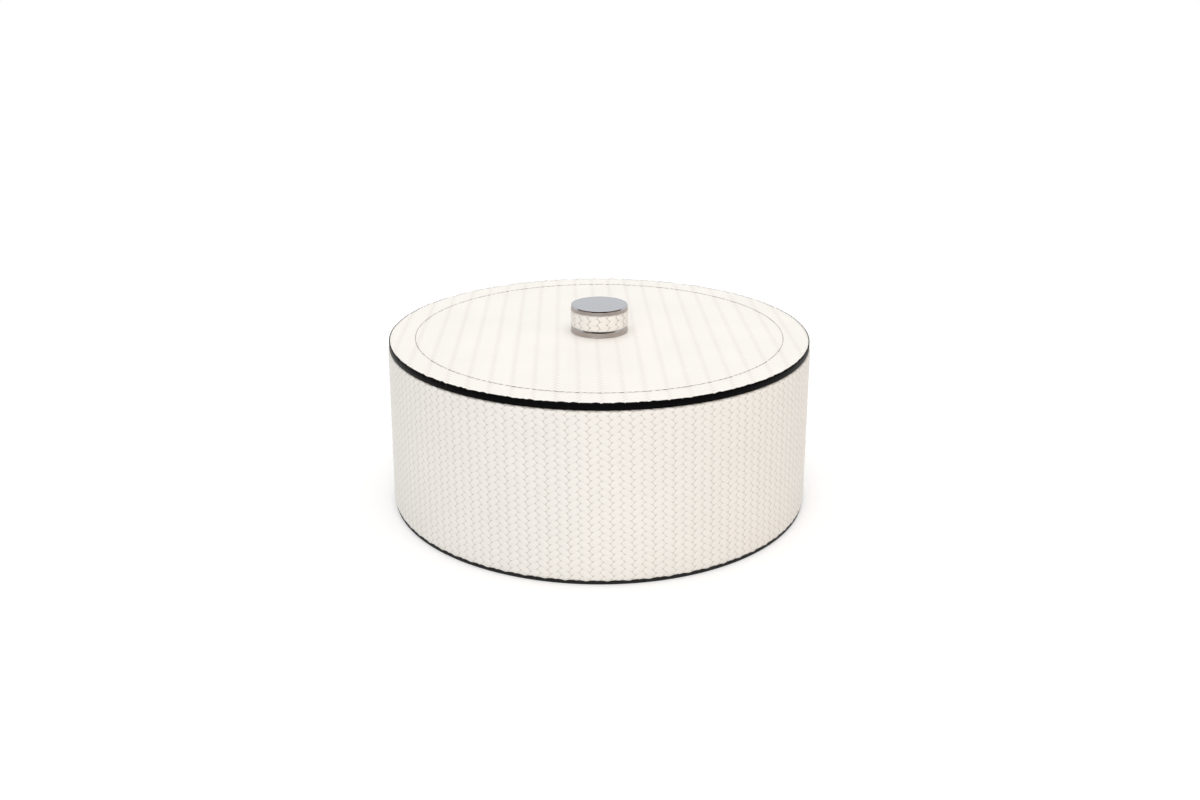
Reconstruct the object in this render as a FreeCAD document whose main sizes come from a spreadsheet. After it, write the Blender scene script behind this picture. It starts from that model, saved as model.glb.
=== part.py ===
import FreeCAD, Part
import math
import os
import Sketcher
from FreeCAD import Vector

# Round box covered in plaited leather, with a lid that lifts off by a turned knob.
# The origin is the centre of the underside, +Z points up, and all lengths are in millimetres.

doc = FreeCAD.newDocument("round_leather_box")
sheet = doc.addObject("Spreadsheet::Sheet", "Sizes")

# Driving dimensions: name, value and what it measures
DIMENSIONS = [
    ("side_radius", "105.6", "outer radius of the leather round the wall"),
    ("body_height", "80.8", "table to the rim that the lid rests on"),
    ("side_leather_thick", "1.6", "plaited leather on the wall"),
    ("turn_thick", "1.0", "same leather, pared thin where it is turned over an edge"),
    ("turn_under", "11", "how far the leather runs in under the wall"),
    ("rim_bevel", "0.9", "easing of the leather at the outer top edge"),
    ("crease_count", "68", "creases of the plait round the wall"),
    ("crease_depth", "0.55", "depth of a crease round the wall"),
    ("crease_width", "1.7", "width of a crease round the wall"),
    ("base_sheet_inset", "0.7", "edge of the black sheet behind the leather round the wall"),
    ("base_sheet_thick", "1.6", "black sheet under the box"),
    ("base_board_thick", "4.0", "board that closes the bottom"),
    ("core_thick", "4.0", "wooden wall"),
    ("lining_board_thick", "1.2", "card behind the wall lining"),
    ("lining_drop", "0.3", "rim down to the top edge of the wall lining"),
    ("suede_thick", "0.8", "suede of every lining"),
    ("floor_card_thick", "1.5", "card under the floor pad"),
    ("floor_foam_thick", "3.0", "foam of the floor pad"),
    ("floor_gap", "0.3", "floor pad to the wall lining, all round"),
    ("lid_inset", "0.6", "edge of the lid behind the leather round the wall"),
    ("lid_edge_thick", "0.5", "black edge band round the lid"),
    ("lid_leather_thick", "1.4", "plaited leather on the lid"),
    ("lid_board_thick", "1.4", "stiff board inside the lid"),
    ("lid_under_thick", "0.7", "smooth leather under the lid"),
    ("lid_crease_spacing", "9.7", "crease to crease across the lid"),
    ("lid_crease_depth", "0.3", "depth of a crease across the lid"),
    ("lid_crease_width", "1.0", "width of a crease across the lid"),
    ("lid_plait_turn", "1.7", "degrees that the lid's creases are turned from front to back"),
    ("plug_board_thick", "6.0", "board that centres the lid in the box"),
    ("plug_gap", "0.8", "plug to the wall lining, all round"),
    ("plug_bevel", "0.6", "easing of the plug's lower edge"),
    ("knob_radius", "14.5", "metal of the knob"),
    ("knob_ring_height", "3.1", "metal ring on the lid"),
    ("knob_band_height", "8.3", "leather band of the knob"),
    ("knob_cap_height", "2.4", "metal disc on top of the knob"),
    ("knob_leather_thick", "1.2", "leather band of the knob"),
    ("knob_band_inset", "0.1", "leather of the knob behind its metal"),
    ("knob_chamfer", "0.25", "turned chamfer of the knob's metal edges"),
    ("screw_radius", "2.0", "shank of the knob's screw"),
    ("screw_length", "12", "shank of the knob's screw"),
    ("screw_head_radius", "4.0", "head of the knob's screw"),
    ("screw_head_height", "2.4", "head of the knob's screw"),
    ("socket_across", "2.5", "across the flats of the screw's socket"),
    ("socket_depth", "1.4", "depth of the screw's socket"),
    ("screw_clearance", "0.25", "screw to the holes that it passes through"),
    ("screw_tip_gap", "0.5", "tip of the screw to the end of its thread"),
    ("washer_radius", "6.0", "washer under the lid"),
    ("washer_thick", "1.0", "washer under the lid"),
    ("pocket_gap", "1.0", "screw head and washer to the pocket in the plug"),
]

for row, (alias, value, meaning) in enumerate(DIMENSIONS, start=1):
    sheet.set(f"A{row}", alias.replace("_", " "))
    sheet.set(f"B{row}", value)
    sheet.setAlias(f"B{row}", alias)
    sheet.set(f"C{row}", meaning)
doc.recompute()

# Radii, worked inwards from the leather round the wall
core_outer = "(Sizes.side_radius - Sizes.side_leather_thick)"
core_inner = f"({core_outer} - Sizes.core_thick)"
lining_back = f"({core_inner} - Sizes.lining_board_thick)"
inside = f"({lining_back} - Sizes.suede_thick)"
floor_outer = f"({inside} - Sizes.floor_gap)"
floor_inner = f"({floor_outer} - Sizes.suede_thick)"
turn_end = f"({core_outer} - Sizes.turn_under)"
base_sheet_outer = "(Sizes.side_radius - Sizes.base_sheet_inset)"

# Radii of the lid, its plug and its knob
lid_outer = "(Sizes.side_radius - Sizes.lid_inset)"
lid_inner = f"({lid_outer} - Sizes.lid_edge_thick)"
plug_outer = f"({inside} - Sizes.plug_gap)"
plug_inner = f"({plug_outer} - Sizes.suede_thick)"
knob_band = "(Sizes.knob_radius - Sizes.knob_band_inset)"
knob_core = f"({knob_band} - Sizes.knob_leather_thick)"
screw_hole = "(Sizes.screw_radius + Sizes.screw_clearance)"

# Levels of the box, worked up from the table
filler_level = "Sizes.base_sheet_thick"
board_level = f"({filler_level} + Sizes.turn_thick)"
floor_level = f"({board_level} + Sizes.base_board_thick)"
foam_level = f"({floor_level} + Sizes.floor_card_thick)"
rim_level = "Sizes.body_height"
lining_top = f"({rim_level} - Sizes.lining_drop)"

# Levels of the lid, worked up and down from the rim
lid_board_level = f"({rim_level} + Sizes.lid_under_thick)"
lid_leather_level = f"({lid_board_level} + Sizes.lid_board_thick)"
lid_top = f"({lid_leather_level} + Sizes.lid_leather_thick)"
plug_level = f"({rim_level} - Sizes.plug_board_thick)"
band_level = f"({lid_top} + Sizes.knob_ring_height)"
washer_level = f"({rim_level} - Sizes.washer_thick)"
screw_level = f"({washer_level} - Sizes.screw_head_height)"


def number(expression):
    """Value of a size expression, in millimetres or degrees."""
    result = sheet.evalExpression(expression)
    return float(getattr(result, "Value", result))


def new_body(label, level):
    """Body whose own zero stands at a level above the table."""
    body = doc.addObject("PartDesign::Body", label)
    body.Label = label
    body.setExpression(".Placement.Base.z", level)
    return body


def new_sketch(body, name, role, offset="0"):
    """Empty sketch on one of the body's own planes, moved along that plane's normal."""
    sketch = body.newObject("Sketcher::SketchObject", name)
    plane = next(item for item in body.Origin.OriginFeatures if item.Role == role)
    sketch.AttachmentSupport = (plane, "")
    sketch.MapMode = "FlatFace"
    sketch.setExpression(".AttachmentOffset.Base.z", offset)
    return sketch


def bind(sketch, kind, references, expression):
    """Dimension of a sketch that follows a size expression."""
    constraint = Sketcher.Constraint(kind, *references, number(expression))
    index = sketch.addConstraint(constraint)
    sketch.setExpression(f"Constraints[{index}]", expression)


def add_circle(sketch, radius):
    """Circle about the sketch's origin."""
    circle = Part.Circle(Vector(0, 0, 0), Vector(0, 0, 1), number(radius))
    geometry = sketch.addGeometry(circle, False)
    sketch.addConstraint(Sketcher.Constraint("Coincident", geometry, 3, -1, 1))
    bind(sketch, "Radius", (geometry,), radius)


def add_outline(sketch, corners):
    """Closed outline of straight lines through corners, each an (across, up) pair of expressions."""
    points = [Vector(number(across), number(up), 0) for across, up in corners]
    lines = []
    for start, end in zip(points, points[1:] + points[:1]):
        lines.append(sketch.addGeometry(Part.LineSegment(start, end), False))
    for line, following in zip(lines, lines[1:] + lines[:1]):
        sketch.addConstraint(Sketcher.Constraint("Coincident", line, 2, following, 1))
    for line, (across, up) in zip(lines, corners):
        for kind, expression, axis in (("DistanceX", across, -2), ("DistanceY", up, -1)):
            if expression == "0":
                sketch.addConstraint(Sketcher.Constraint("PointOnObject", line, 1, axis))
            else:
                bind(sketch, kind, (-1, 1, line, 1), expression)


def pad(body, sketch, length):
    """Straight solid above a sketch."""
    feature = body.newObject("PartDesign::Pad", f"{sketch.Name}_pad")
    feature.Profile = sketch
    feature.setExpression("Length", length)
    body.Tip = feature


def cut_up(body, sketch, length=None):
    """Straight cut above a sketch, right through where no length is given."""
    feature = body.newObject("PartDesign::Pocket", f"{sketch.Name}_cut")
    feature.Profile = sketch
    feature.Reversed = True
    if length is None:
        feature.Type = "ThroughAll"
    else:
        feature.setExpression("Length", length)
    body.Tip = feature


def turn(body, sketch):
    """Solid turned from a sketch about the vertical axis."""
    feature = body.newObject("PartDesign::Revolution", f"{sketch.Name}_turned")
    feature.Profile = sketch
    feature.ReferenceAxis = (sketch, ["V_Axis"])
    feature.Angle = 360
    body.Tip = feature


def chamfer_ring(body, radius, height, size):
    """Chamfer on the whole circle at a radius and a height of the body."""
    doc.recompute()
    base = body.Tip
    names = []
    for index, edge in enumerate(base.Shape.Edges, start=1):
        if not isinstance(edge.Curve, Part.Circle):
            continue
        off_radius = abs(edge.Curve.Radius - number(radius))
        off_height = abs(edge.Curve.Center.z - number(height))
        if off_radius + off_height < 1e-4:
            names.append(f"Edge{index}")
    if not names:
        raise ValueError(f"{body.Label} has no circle at radius {radius}, height {height}")
    feature = body.newObject("PartDesign::Chamfer", f"{body.Label}_chamfer")
    feature.Base = (base, names)
    feature.setExpression("Size", size)
    body.Tip = feature


def repeat(body, kind, direction, reach, count):
    """Pattern of the body's last cut: reach is its angle or length property, with an expression."""
    doc.recompute()
    cut = body.Tip
    pattern = body.newObject(f"PartDesign::{kind}", f"{cut.Name}_pattern")
    pattern.Originals = [cut]
    property_name, value = reach
    setattr(pattern, "Axis" if kind == "PolarPattern" else "Direction", direction)
    pattern.setExpression(property_name, value)
    pattern.setExpression("Occurrences", count)
    body.Tip = pattern


def disc(label, level, radius, thick, hole=None):
    """Flat round piece, with a hole at its centre where one is given."""
    body = new_body(label, level)
    sketch = new_sketch(body, f"{label}_outline", "XY_Plane")
    add_circle(sketch, radius)
    if hole is not None:
        add_circle(sketch, hole)
    pad(body, sketch, thick)
    return body


def turned(label, level, corners):
    """Piece turned about the vertical axis from a closed profile."""
    body = new_body(label, level)
    sketch = new_sketch(body, f"{label}_profile", "XZ_Plane")
    add_outline(sketch, corners)
    turn(body, sketch)
    return body


def v_notch(tip_across, tip_up, half_width, depth, opens):
    """Corners of a V whose tip lies in the leather and whose mouth stands as far out of it."""
    if opens == "outwards":
        mouth = f"({tip_across} + 2 * {depth})"
        return [(tip_across, tip_up), (mouth, half_width), (mouth, f"(-1 * {half_width})")]
    mouth = f"({tip_up} + 2 * {depth})"
    left = f"({tip_across} - {half_width})"
    right = f"({tip_across} + {half_width})"
    return [(tip_across, tip_up), (right, mouth), (left, mouth)]


# The box


def make_base_sheet():
    """Black sheet that covers the underside and that the box stands on."""
    return disc("base_sheet", "0", base_sheet_outer, "Sizes.base_sheet_thick")


def make_base_filler():
    """Card that levels the underside between the turned-in leather."""
    return disc("base_filler", filler_level, turn_end, "Sizes.turn_thick")


def make_base_board():
    """Board that closes the wooden wall at the bottom."""
    return disc("base_board", board_level, core_inner, "Sizes.base_board_thick")


def make_wall_core():
    """Wooden wall, a thickness of pared leather short of the rim."""
    height = f"({rim_level} - Sizes.turn_thick - {board_level})"
    return disc("wall_core", board_level, core_outer, height, core_inner)


def make_side_leather():
    """Plaited leather round the wall, turned over its top edge and in under its foot."""
    height = f"({rim_level} - {filler_level})"
    corners = [
        (turn_end, "0"),
        ("Sizes.side_radius", "0"),
        ("Sizes.side_radius", height),
        (core_inner, height),
        (core_inner, f"({height} - Sizes.turn_thick)"),
        (core_outer, f"({height} - Sizes.turn_thick)"),
        (core_outer, "Sizes.turn_thick"),
        (turn_end, "Sizes.turn_thick"),
    ]
    body = turned("side_leather", filler_level, corners)
    chamfer_ring(body, "Sizes.side_radius", height, "Sizes.rim_bevel")
    crease = new_sketch(body, "side_crease", "XY_Plane")
    tip = "(Sizes.side_radius - Sizes.crease_depth)"
    half_width = "Sizes.crease_width"
    add_outline(crease, v_notch(tip, "0", half_width, "Sizes.crease_depth", "outwards"))
    cut_up(body, crease)
    repeat(body, "PolarPattern", (crease, ["N_Axis"]), ("Angle", "360"), "Sizes.crease_count")
    return body


def make_lining_board():
    """Card that carries the wall lining, standing on the base board."""
    height = f"({lining_top} - Sizes.suede_thick - {floor_level})"
    return disc("lining_board", floor_level, core_inner, height, lining_back)


def make_lining_suede():
    """Suede drawn over the inside and the top edge of the lining card."""
    height = f"({lining_top} - {floor_level})"
    card_top = f"({height} - Sizes.suede_thick)"
    corners = [
        (inside, "0"),
        (lining_back, "0"),
        (lining_back, card_top),
        (core_inner, card_top),
        (core_inner, height),
        (inside, height),
    ]
    return turned("lining_suede", floor_level, corners)


def make_floor_card():
    """Card under the floor pad."""
    return disc("floor_card", floor_level, floor_inner, "Sizes.floor_card_thick")


def make_floor_foam():
    """Thin foam on the floor card."""
    return disc("floor_foam", foam_level, floor_inner, "Sizes.floor_foam_thick")


def make_floor_suede():
    """Suede drawn over the foam and down the edge of the floor card."""
    filling = "(Sizes.floor_card_thick + Sizes.floor_foam_thick)"
    top = f"({filling} + Sizes.suede_thick)"
    corners = [
        (floor_inner, "0"),
        (floor_outer, "0"),
        (floor_outer, top),
        ("0", top),
        ("0", filling),
        (floor_inner, filling),
    ]
    return turned("floor_suede", floor_level, corners)


# The lid


def make_lid_under_leather():
    """Smooth leather under the lid, which rests on the rim."""
    return disc("lid_under_leather", rim_level, lid_inner, "Sizes.lid_under_thick", screw_hole)


def make_lid_board():
    """Stiff board inside the lid."""
    return disc("lid_board", lid_board_level, lid_inner, "Sizes.lid_board_thick", screw_hole)


def make_lid_leather():
    """Plaited leather on the lid, with its creases from front to back."""
    thick = "Sizes.lid_leather_thick"
    body = disc("lid_leather", lid_leather_level, lid_inner, thick, screw_hole)
    body.setExpression(".Placement.Rotation.Angle", "Sizes.lid_plait_turn")
    each_side = math.floor(number(f"{lid_inner} / Sizes.lid_crease_spacing"))
    first = f"({-each_side} * Sizes.lid_crease_spacing)"
    crease = new_sketch(body, "lid_crease", "XZ_Plane", f"(-1 * {lid_inner})")
    tip = f"({thick} - Sizes.lid_crease_depth)"
    half_width = "Sizes.lid_crease_width"
    add_outline(crease, v_notch(first, tip, half_width, "Sizes.lid_crease_depth", "upwards"))
    cut_up(body, crease)
    length = f"{2 * each_side} * Sizes.lid_crease_spacing"
    repeat(body, "LinearPattern", (crease, ["H_Axis"]), ("Length", length), f"{2 * each_side + 1}")
    return body


def make_lid_edge():
    """Black edge band round the three layers of the lid."""
    return disc("lid_edge", rim_level, lid_outer, f"({lid_top} - {rim_level})", lid_inner)


def make_plug_board():
    """Board that centres the lid in the box, with a pocket for the screw head and its washer."""
    body = disc("plug_board", plug_level, plug_inner, "Sizes.plug_board_thick")
    depth = "(Sizes.washer_thick + Sizes.screw_head_height + Sizes.pocket_gap)"
    pocket = new_sketch(body, "plug_pocket", "XY_Plane", f"(Sizes.plug_board_thick - {depth})")
    add_circle(pocket, "(Sizes.washer_radius + Sizes.pocket_gap)")
    cut_up(body, pocket, depth)
    return body


def make_plug_suede():
    """Suede drawn over the underside and the edge of the plug."""
    height = "(Sizes.plug_board_thick + Sizes.suede_thick)"
    corners = [
        ("0", "0"),
        (plug_outer, "0"),
        (plug_outer, height),
        (plug_inner, height),
        (plug_inner, "Sizes.suede_thick"),
        ("0", "Sizes.suede_thick"),
    ]
    body = turned("plug_suede", f"({plug_level} - Sizes.suede_thick)", corners)
    chamfer_ring(body, plug_outer, "0", "Sizes.plug_bevel")
    return body


# The knob


def make_knob_ring():
    """Turned metal ring between the lid and the leather band."""
    body = disc("knob_ring", lid_top, "Sizes.knob_radius", "Sizes.knob_ring_height", screw_hole)
    chamfer_ring(body, "Sizes.knob_radius", "Sizes.knob_ring_height", "Sizes.knob_chamfer")
    return body


def make_knob_leather():
    """Band of plaited leather, held between the ring and the cap."""
    return disc("knob_leather", band_level, knob_band, "Sizes.knob_band_height", knob_core)


def make_knob_cap():
    """Metal disc turned in one with the core under the leather, tapped from below for the screw."""
    flange = "Sizes.knob_band_height"
    top = f"({flange} + Sizes.knob_cap_height)"
    tip = f"({washer_level} + Sizes.screw_length)"
    thread_end = f"({tip} + Sizes.screw_tip_gap - {band_level})"
    corners = [
        ("Sizes.screw_radius", "0"),
        (knob_core, "0"),
        (knob_core, flange),
        ("Sizes.knob_radius", flange),
        ("Sizes.knob_radius", top),
        ("0", top),
        ("0", thread_end),
        ("Sizes.screw_radius", thread_end),
    ]
    body = turned("knob_cap", band_level, corners)
    chamfer_ring(body, "Sizes.knob_radius", top, "Sizes.knob_chamfer")
    return body


def make_knob_washer():
    """Washer between the screw's head and the lid."""
    radius = "Sizes.washer_radius"
    return disc("knob_washer", washer_level, radius, "Sizes.washer_thick", screw_hole)


def make_knob_screw():
    """Socket screw that clamps the knob, driven from under the lid before the plug is glued on."""
    head = "Sizes.screw_head_height"
    tip = f"({head} + Sizes.screw_length)"
    corners = [
        ("0", "0"),
        ("Sizes.screw_head_radius", "0"),
        ("Sizes.screw_head_radius", head),
        ("Sizes.screw_radius", head),
        ("Sizes.screw_radius", tip),
        ("0", tip),
    ]
    body = turned("knob_screw", screw_level, corners)
    socket = new_sketch(body, "screw_socket", "XY_Plane")
    reach = "Sizes.socket_across / sqrt(3)"
    hexagon = []
    for angle in range(30, 390, 60):
        hexagon.append((f"{reach} * cos({angle} deg)", f"{reach} * sin({angle} deg)"))
    add_outline(socket, hexagon)
    cut_up(body, socket, "Sizes.socket_depth")
    return body


def check(bodies):
    """Stop unless every object has recomputed cleanly and every piece is one sound solid."""
    for item in doc.Objects:
        if "Invalid" in item.State or "Error" in item.State:
            raise ValueError(f"{item.Label} has state {item.State}")
    for body in bodies:
        shape = body.Shape
        if shape.isNull() or not shape.isValid() or len(shape.Solids) != 1:
            raise ValueError(f"{body.Label} is not one sound solid")


def write(bodies):
    """One STEP file for each piece, with its volume and height printed."""
    os.makedirs("parts", exist_ok=True)
    for body in bodies:
        body.Shape.exportStep(f"parts/{body.Label}.step")
        box = body.Shape.BoundBox
        volume = body.Shape.Volume / 1000
        print(f"{body.Label:18s} {volume:8.3f} cm3, z {box.ZMin:6.2f} to {box.ZMax:6.2f} mm")


def main():
    makers = [
        make_base_sheet,
        make_base_filler,
        make_base_board,
        make_wall_core,
        make_side_leather,
        make_lining_board,
        make_lining_suede,
        make_floor_card,
        make_floor_foam,
        make_floor_suede,
        make_lid_under_leather,
        make_lid_board,
        make_lid_leather,
        make_lid_edge,
        make_plug_board,
        make_plug_suede,
        make_knob_ring,
        make_knob_leather,
        make_knob_cap,
        make_knob_washer,
        make_knob_screw,
    ]
    bodies = [maker() for maker in makers]
    doc.recompute()
    check(bodies)
    write(bodies)


main()
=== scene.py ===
"""Round box covered in plaited leather, with a lift-off lid and a turned knob."""

import math
from collections import namedtuple

import bmesh
import bpy
from mathutils import Matrix, Vector


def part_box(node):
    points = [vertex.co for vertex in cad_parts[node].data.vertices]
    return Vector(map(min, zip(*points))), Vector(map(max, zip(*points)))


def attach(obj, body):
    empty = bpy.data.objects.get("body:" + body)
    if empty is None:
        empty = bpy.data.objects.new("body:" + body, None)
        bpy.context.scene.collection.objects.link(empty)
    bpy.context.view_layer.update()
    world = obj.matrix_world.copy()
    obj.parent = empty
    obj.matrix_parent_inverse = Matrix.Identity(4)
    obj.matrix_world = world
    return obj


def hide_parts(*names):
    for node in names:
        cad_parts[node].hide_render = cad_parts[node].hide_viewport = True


bl_info = {
    "name": "Round Leather Box",
    "version": (1, 0, 0),
    "blender": (4, 5, 0),
    "location": "3D View > Sidebar > Leather Box",
    "description": "Makes the leather, suede, thread and metal of a round box with a lift-off lid",
    "category": "Add Mesh",
}

# The construction comes first, so that every size below can follow it
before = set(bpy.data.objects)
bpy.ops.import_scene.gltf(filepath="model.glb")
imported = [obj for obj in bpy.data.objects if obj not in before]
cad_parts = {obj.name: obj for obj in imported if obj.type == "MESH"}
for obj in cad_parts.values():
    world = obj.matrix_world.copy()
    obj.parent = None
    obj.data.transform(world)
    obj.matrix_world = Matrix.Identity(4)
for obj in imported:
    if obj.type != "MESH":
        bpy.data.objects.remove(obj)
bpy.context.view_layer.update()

MM = 0.001
NO_OFFSET = (0.0, 0.0, 0.0)
UPWARDS = (0.0, 0.0, 1.0)
MERGE_DISTANCE = 0.002 * MM
FRONT = -math.pi / 2

Ring = namedtuple("Ring", "inner outer low high")
Plait = namedtuple("Plait", "column tooth zigzag parting meeting between crossing shoulder rise")


def ring_of(node):
    """Inner and outer radius and lower and upper level of a round CAD node."""
    low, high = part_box(node)
    radii = [vertex.co.xy.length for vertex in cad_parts[node].data.vertices]
    return Ring(min(radii), max(radii), low.z, high.z)


SIDE = ring_of("side_leather")
CORE = ring_of("wall_core")
BASE = ring_of("base_sheet")
LINING = ring_of("lining_suede")
LINING_BOARD = ring_of("lining_board")
FLOOR = ring_of("floor_suede")
FLOOR_CARD = ring_of("floor_card")
LID = ring_of("lid_leather")
LID_UNDER = ring_of("lid_under_leather")
LID_EDGE = ring_of("lid_edge")
PLUG = ring_of("plug_suede")
PLUG_BOARD = ring_of("plug_board")
KNOB_RING = ring_of("knob_ring")
KNOB_BAND = ring_of("knob_leather")
KNOB_CAP = ring_of("knob_cap")
KNOB_SCREW = ring_of("knob_screw")


# Sizes and colours that a user would change


def length(label, description, millimetres):
    """Length setting with its default given in millimetres."""
    return bpy.props.FloatProperty(
        name=label,
        description=description,
        default=millimetres * MM,
        min=0.0,
        precision=5,
        unit="LENGTH",
    )


def linear(hexadecimal):
    """Linear RGBA of an sRGB hex colour."""
    parts = [int(hexadecimal[place : place + 2], 16) / 255 for place in (1, 3, 5)]
    return tuple(p / 12.92 if p <= 0.04045 else ((p + 0.055) / 1.055) ** 2.4 for p in parts) + (1.0,)


def shade(label, description, hexadecimal):
    """Colour setting with its default given as an sRGB hex value."""
    return bpy.props.FloatVectorProperty(
        name=label,
        description=description,
        default=linear(hexadecimal),
        size=4,
        min=0.0,
        max=1.0,
        subtype="COLOR",
    )


class LeatherBoxSizes(bpy.types.PropertyGroup):
    """Sizes of the plait, its stitching and its rounded edges"""

    side_pairs: bpy.props.IntProperty(
        name="Plaits round the wall",
        description="Pairs of strand columns round the wall",
        default=71,
        min=12,
        max=120,
    )
    lid_spacing: length("Lid crease spacing", "Crease to crease across the lid", 9.7)
    lid_offset: length("Lid crease offset", "Middle of the lid to the first crease on its left", 1.8)
    lid_turn: bpy.props.FloatProperty(
        name="Lid plait turn",
        description="How far the lid's creases are turned from front to back",
        default=math.radians(1.7),
        subtype="ANGLE",
    )
    knob_pairs: bpy.props.IntProperty(
        name="Plaits round the knob",
        description="Pairs of strand columns round the knob's leather band",
        default=9,
        min=4,
        max=20,
    )
    side_lean: bpy.props.FloatProperty(
        name="Wall plait lean",
        description="How far the creases round the wall lean from upright",
        default=math.radians(1.2),
        subtype="ANGLE",
    )
    tooth: length("Strand pitch", "One strand to the next along a column", 3.46)
    knob_tooth: length("Knob strand pitch", "One strand to the next on the knob", 3.4)
    zigzag: length("Zigzag", "How far a crease swings to each side", 0.73)
    side_crease: length("Wall crease", "Depth of a crease round the wall", 0.50)
    lid_crease: length("Lid crease", "Depth of a crease across the lid", 0.20)
    knob_crease: length("Knob crease", "Depth of a crease round the knob", 0.16)
    rim_rounding: length("Rim rounding", "Rounding of the leather over the rim", 1.3)
    foot_rounding: length("Foot rounding", "Rounding of the leather under the wall", 0.8)
    stitch_inset: length("Stitch inset", "Stitch line in from the edge of the lid", 12.9)
    stitch_pitch: length("Stitch pitch", "One stitch to the next", 3.2)
    thread: length("Thread", "Width of the sewing thread", 0.45)
    metal_taper: length("Metal taper", "Height of the taper turned on the knob's metal edges", 0.8)


class LeatherBoxColours(bpy.types.PropertyGroup):
    """Colours of the finishes"""

    leather: shade("Leather", "Ivory face of the leather", "#F3EFE9")
    # The three crease colours are painted shade: the leather is drawn darker and browner down in the creases.
    side_crease: shade("Wall crease", "Leather down in the creases of the wall", "#BBAFA3")
    lid_crease: shade("Lid crease", "Leather down in the creases of the lid", "#E0DAD2")
    knob_crease: shade("Knob crease", "Leather down in the creases of the knob", "#6A5443")
    smooth_leather: shade("Smooth leather", "Leather under the lid", "#EDE7DE")
    lining: shade("Lining", "Suede of the lining", "#B9A994")
    base: shade("Base", "Suede under the box", "#0C0B0B")
    edge_paint: shade("Edge paint", "Painted edge of the lid", "#030303")
    thread: shade("Thread", "Sewing thread round the lid", "#94897E")
    metal: shade("Knob metal", "Polished metal of the knob", "#ABAEB4")
    steel: shade("Plated steel", "Screw and washer", "#B4B6B8")
    board: shade("Board", "Pressed wood fibre", "#A9885F")
    card: shade("Card", "Grey card", "#A39C90")
    floor: shade("Floor", "Studio floor", "#EAEAEA")


# Shapes


def add_section(bm, corners):
    """Draws a section in the XZ plane; each corner is its radius, its level and its rounding."""
    verts = [bm.verts.new((radius, 0.0, level)) for radius, level, rounding in corners]
    bm.faces.new(verts)
    for vert, (radius, level, rounding) in zip(verts, corners):
        if rounding:
            bmesh.ops.bevel(
                bm,
                geom=[vert],
                offset=rounding,
                offset_type="OFFSET",
                segments=4,
                profile=0.5,
                affect="VERTICES",
                material=-1,
            )


def turn_section(bm, steps):
    """Turns the section about the Z axis into one closed shell."""
    bmesh.ops.delete(bm, geom=bm.faces[:], context="FACES_ONLY")
    on_axis = [edge for edge in bm.edges if all(vert.co.x < MERGE_DISTANCE for vert in edge.verts)]
    bmesh.ops.delete(bm, geom=on_axis, context="EDGES")
    bmesh.ops.spin(
        bm,
        geom=bm.verts[:] + bm.edges[:],
        cent=NO_OFFSET,
        axis=UPWARDS,
        dvec=NO_OFFSET,
        angle=math.tau,
        steps=steps,
        use_merge=True,
    )
    bmesh.ops.remove_doubles(bm, verts=bm.verts[:], dist=MERGE_DISTANCE)
    bmesh.ops.recalc_face_normals(bm, faces=bm.faces[:])


def turned(corners, steps=160):
    """Round piece turned from its section."""
    bm = bmesh.new()
    add_section(bm, corners)
    turn_section(bm, steps)
    return bm


def add_strand(bm, valley, plait, column):
    """One domed strand of the plait, flat in the XY plane; it leans right in column 0, left in column 1."""
    shoulder_valley = 0.2
    left = column * plait.column
    right = left + plait.column
    half = plait.tooth / 2
    lean = half if column else -half
    left_depth = plait.meeting if column else plait.parting
    right_depth = plait.parting if column else plait.meeting
    corners = [
        (left + plait.zigzag, 0.0, left_depth),
        (left, -half / 2, left_depth * plait.between),
        (left - plait.zigzag, -half, left_depth),
        (left, -half * 1.5, left_depth * plait.between),
        (left + plait.zigzag, -plait.tooth, left_depth),
        ((left + right) / 2, lean / 2 - plait.tooth, plait.crossing),
        (right - plait.zigzag, lean - plait.tooth, right_depth),
        (right, lean - half * 1.5, right_depth * plait.between),
        (right + plait.zigzag, lean - half, right_depth),
        (right, lean - half / 2, right_depth * plait.between),
        (right - plait.zigzag, lean, right_depth),
        ((left + right) / 2, lean / 2, plait.crossing),
    ]
    rim = [bm.verts.new((x, y, 0.0)) for x, y, depth in corners]
    face = bm.faces.new(rim)
    face.normal_update()
    bmesh.ops.inset_individual(bm, faces=[face], thickness=plait.shoulder, depth=0.0, use_even_offset=True)
    shoulder = list(face.verts)
    bmesh.ops.poke(bm, faces=[face])
    for vert, (x, y, depth) in zip(rim, corners):
        vert.co.z = -depth
        vert[valley] = depth / max(plait.parting, plait.meeting)
    for vert in shoulder:
        vert.co.z = -plait.rise
        vert[valley] = shoulder_valley


def add_plait(bm, plait, low, high, level):
    """One pair of strand columns between two heights, with a right point of its crease at a level."""
    valley = bm.verts.layers.float.new("valley")
    for column in (0, 1):
        add_strand(bm, valley, plait, column)
    first = bm.verts[:] + bm.edges[:] + bm.faces[:]
    above = math.ceil((high - level) / plait.tooth) + 2
    below = math.ceil((level - low) / plait.tooth) + 2
    for row in range(-above, below):
        if row:
            copy = bmesh.ops.duplicate(bm, geom=first)["geom"]
            verts = [item for item in copy if isinstance(item, bmesh.types.BMVert)]
            bmesh.ops.translate(bm, verts=verts, vec=(0.0, -row * plait.tooth, 0.0))
    bmesh.ops.translate(bm, verts=bm.verts[:], vec=(0.0, level, 0.0))
    bmesh.ops.remove_doubles(bm, verts=bm.verts[:], dist=MERGE_DISTANCE)
    for height, direction in ((low, -1.0), (high, 1.0)):
        bmesh.ops.bisect_plane(
            bm,
            geom=bm.verts[:] + bm.edges[:] + bm.faces[:],
            dist=MERGE_DISTANCE,
            plane_co=(0.0, height, 0.0),
            plane_no=(0.0, direction, 0.0),
            clear_outer=True,
        )


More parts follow.
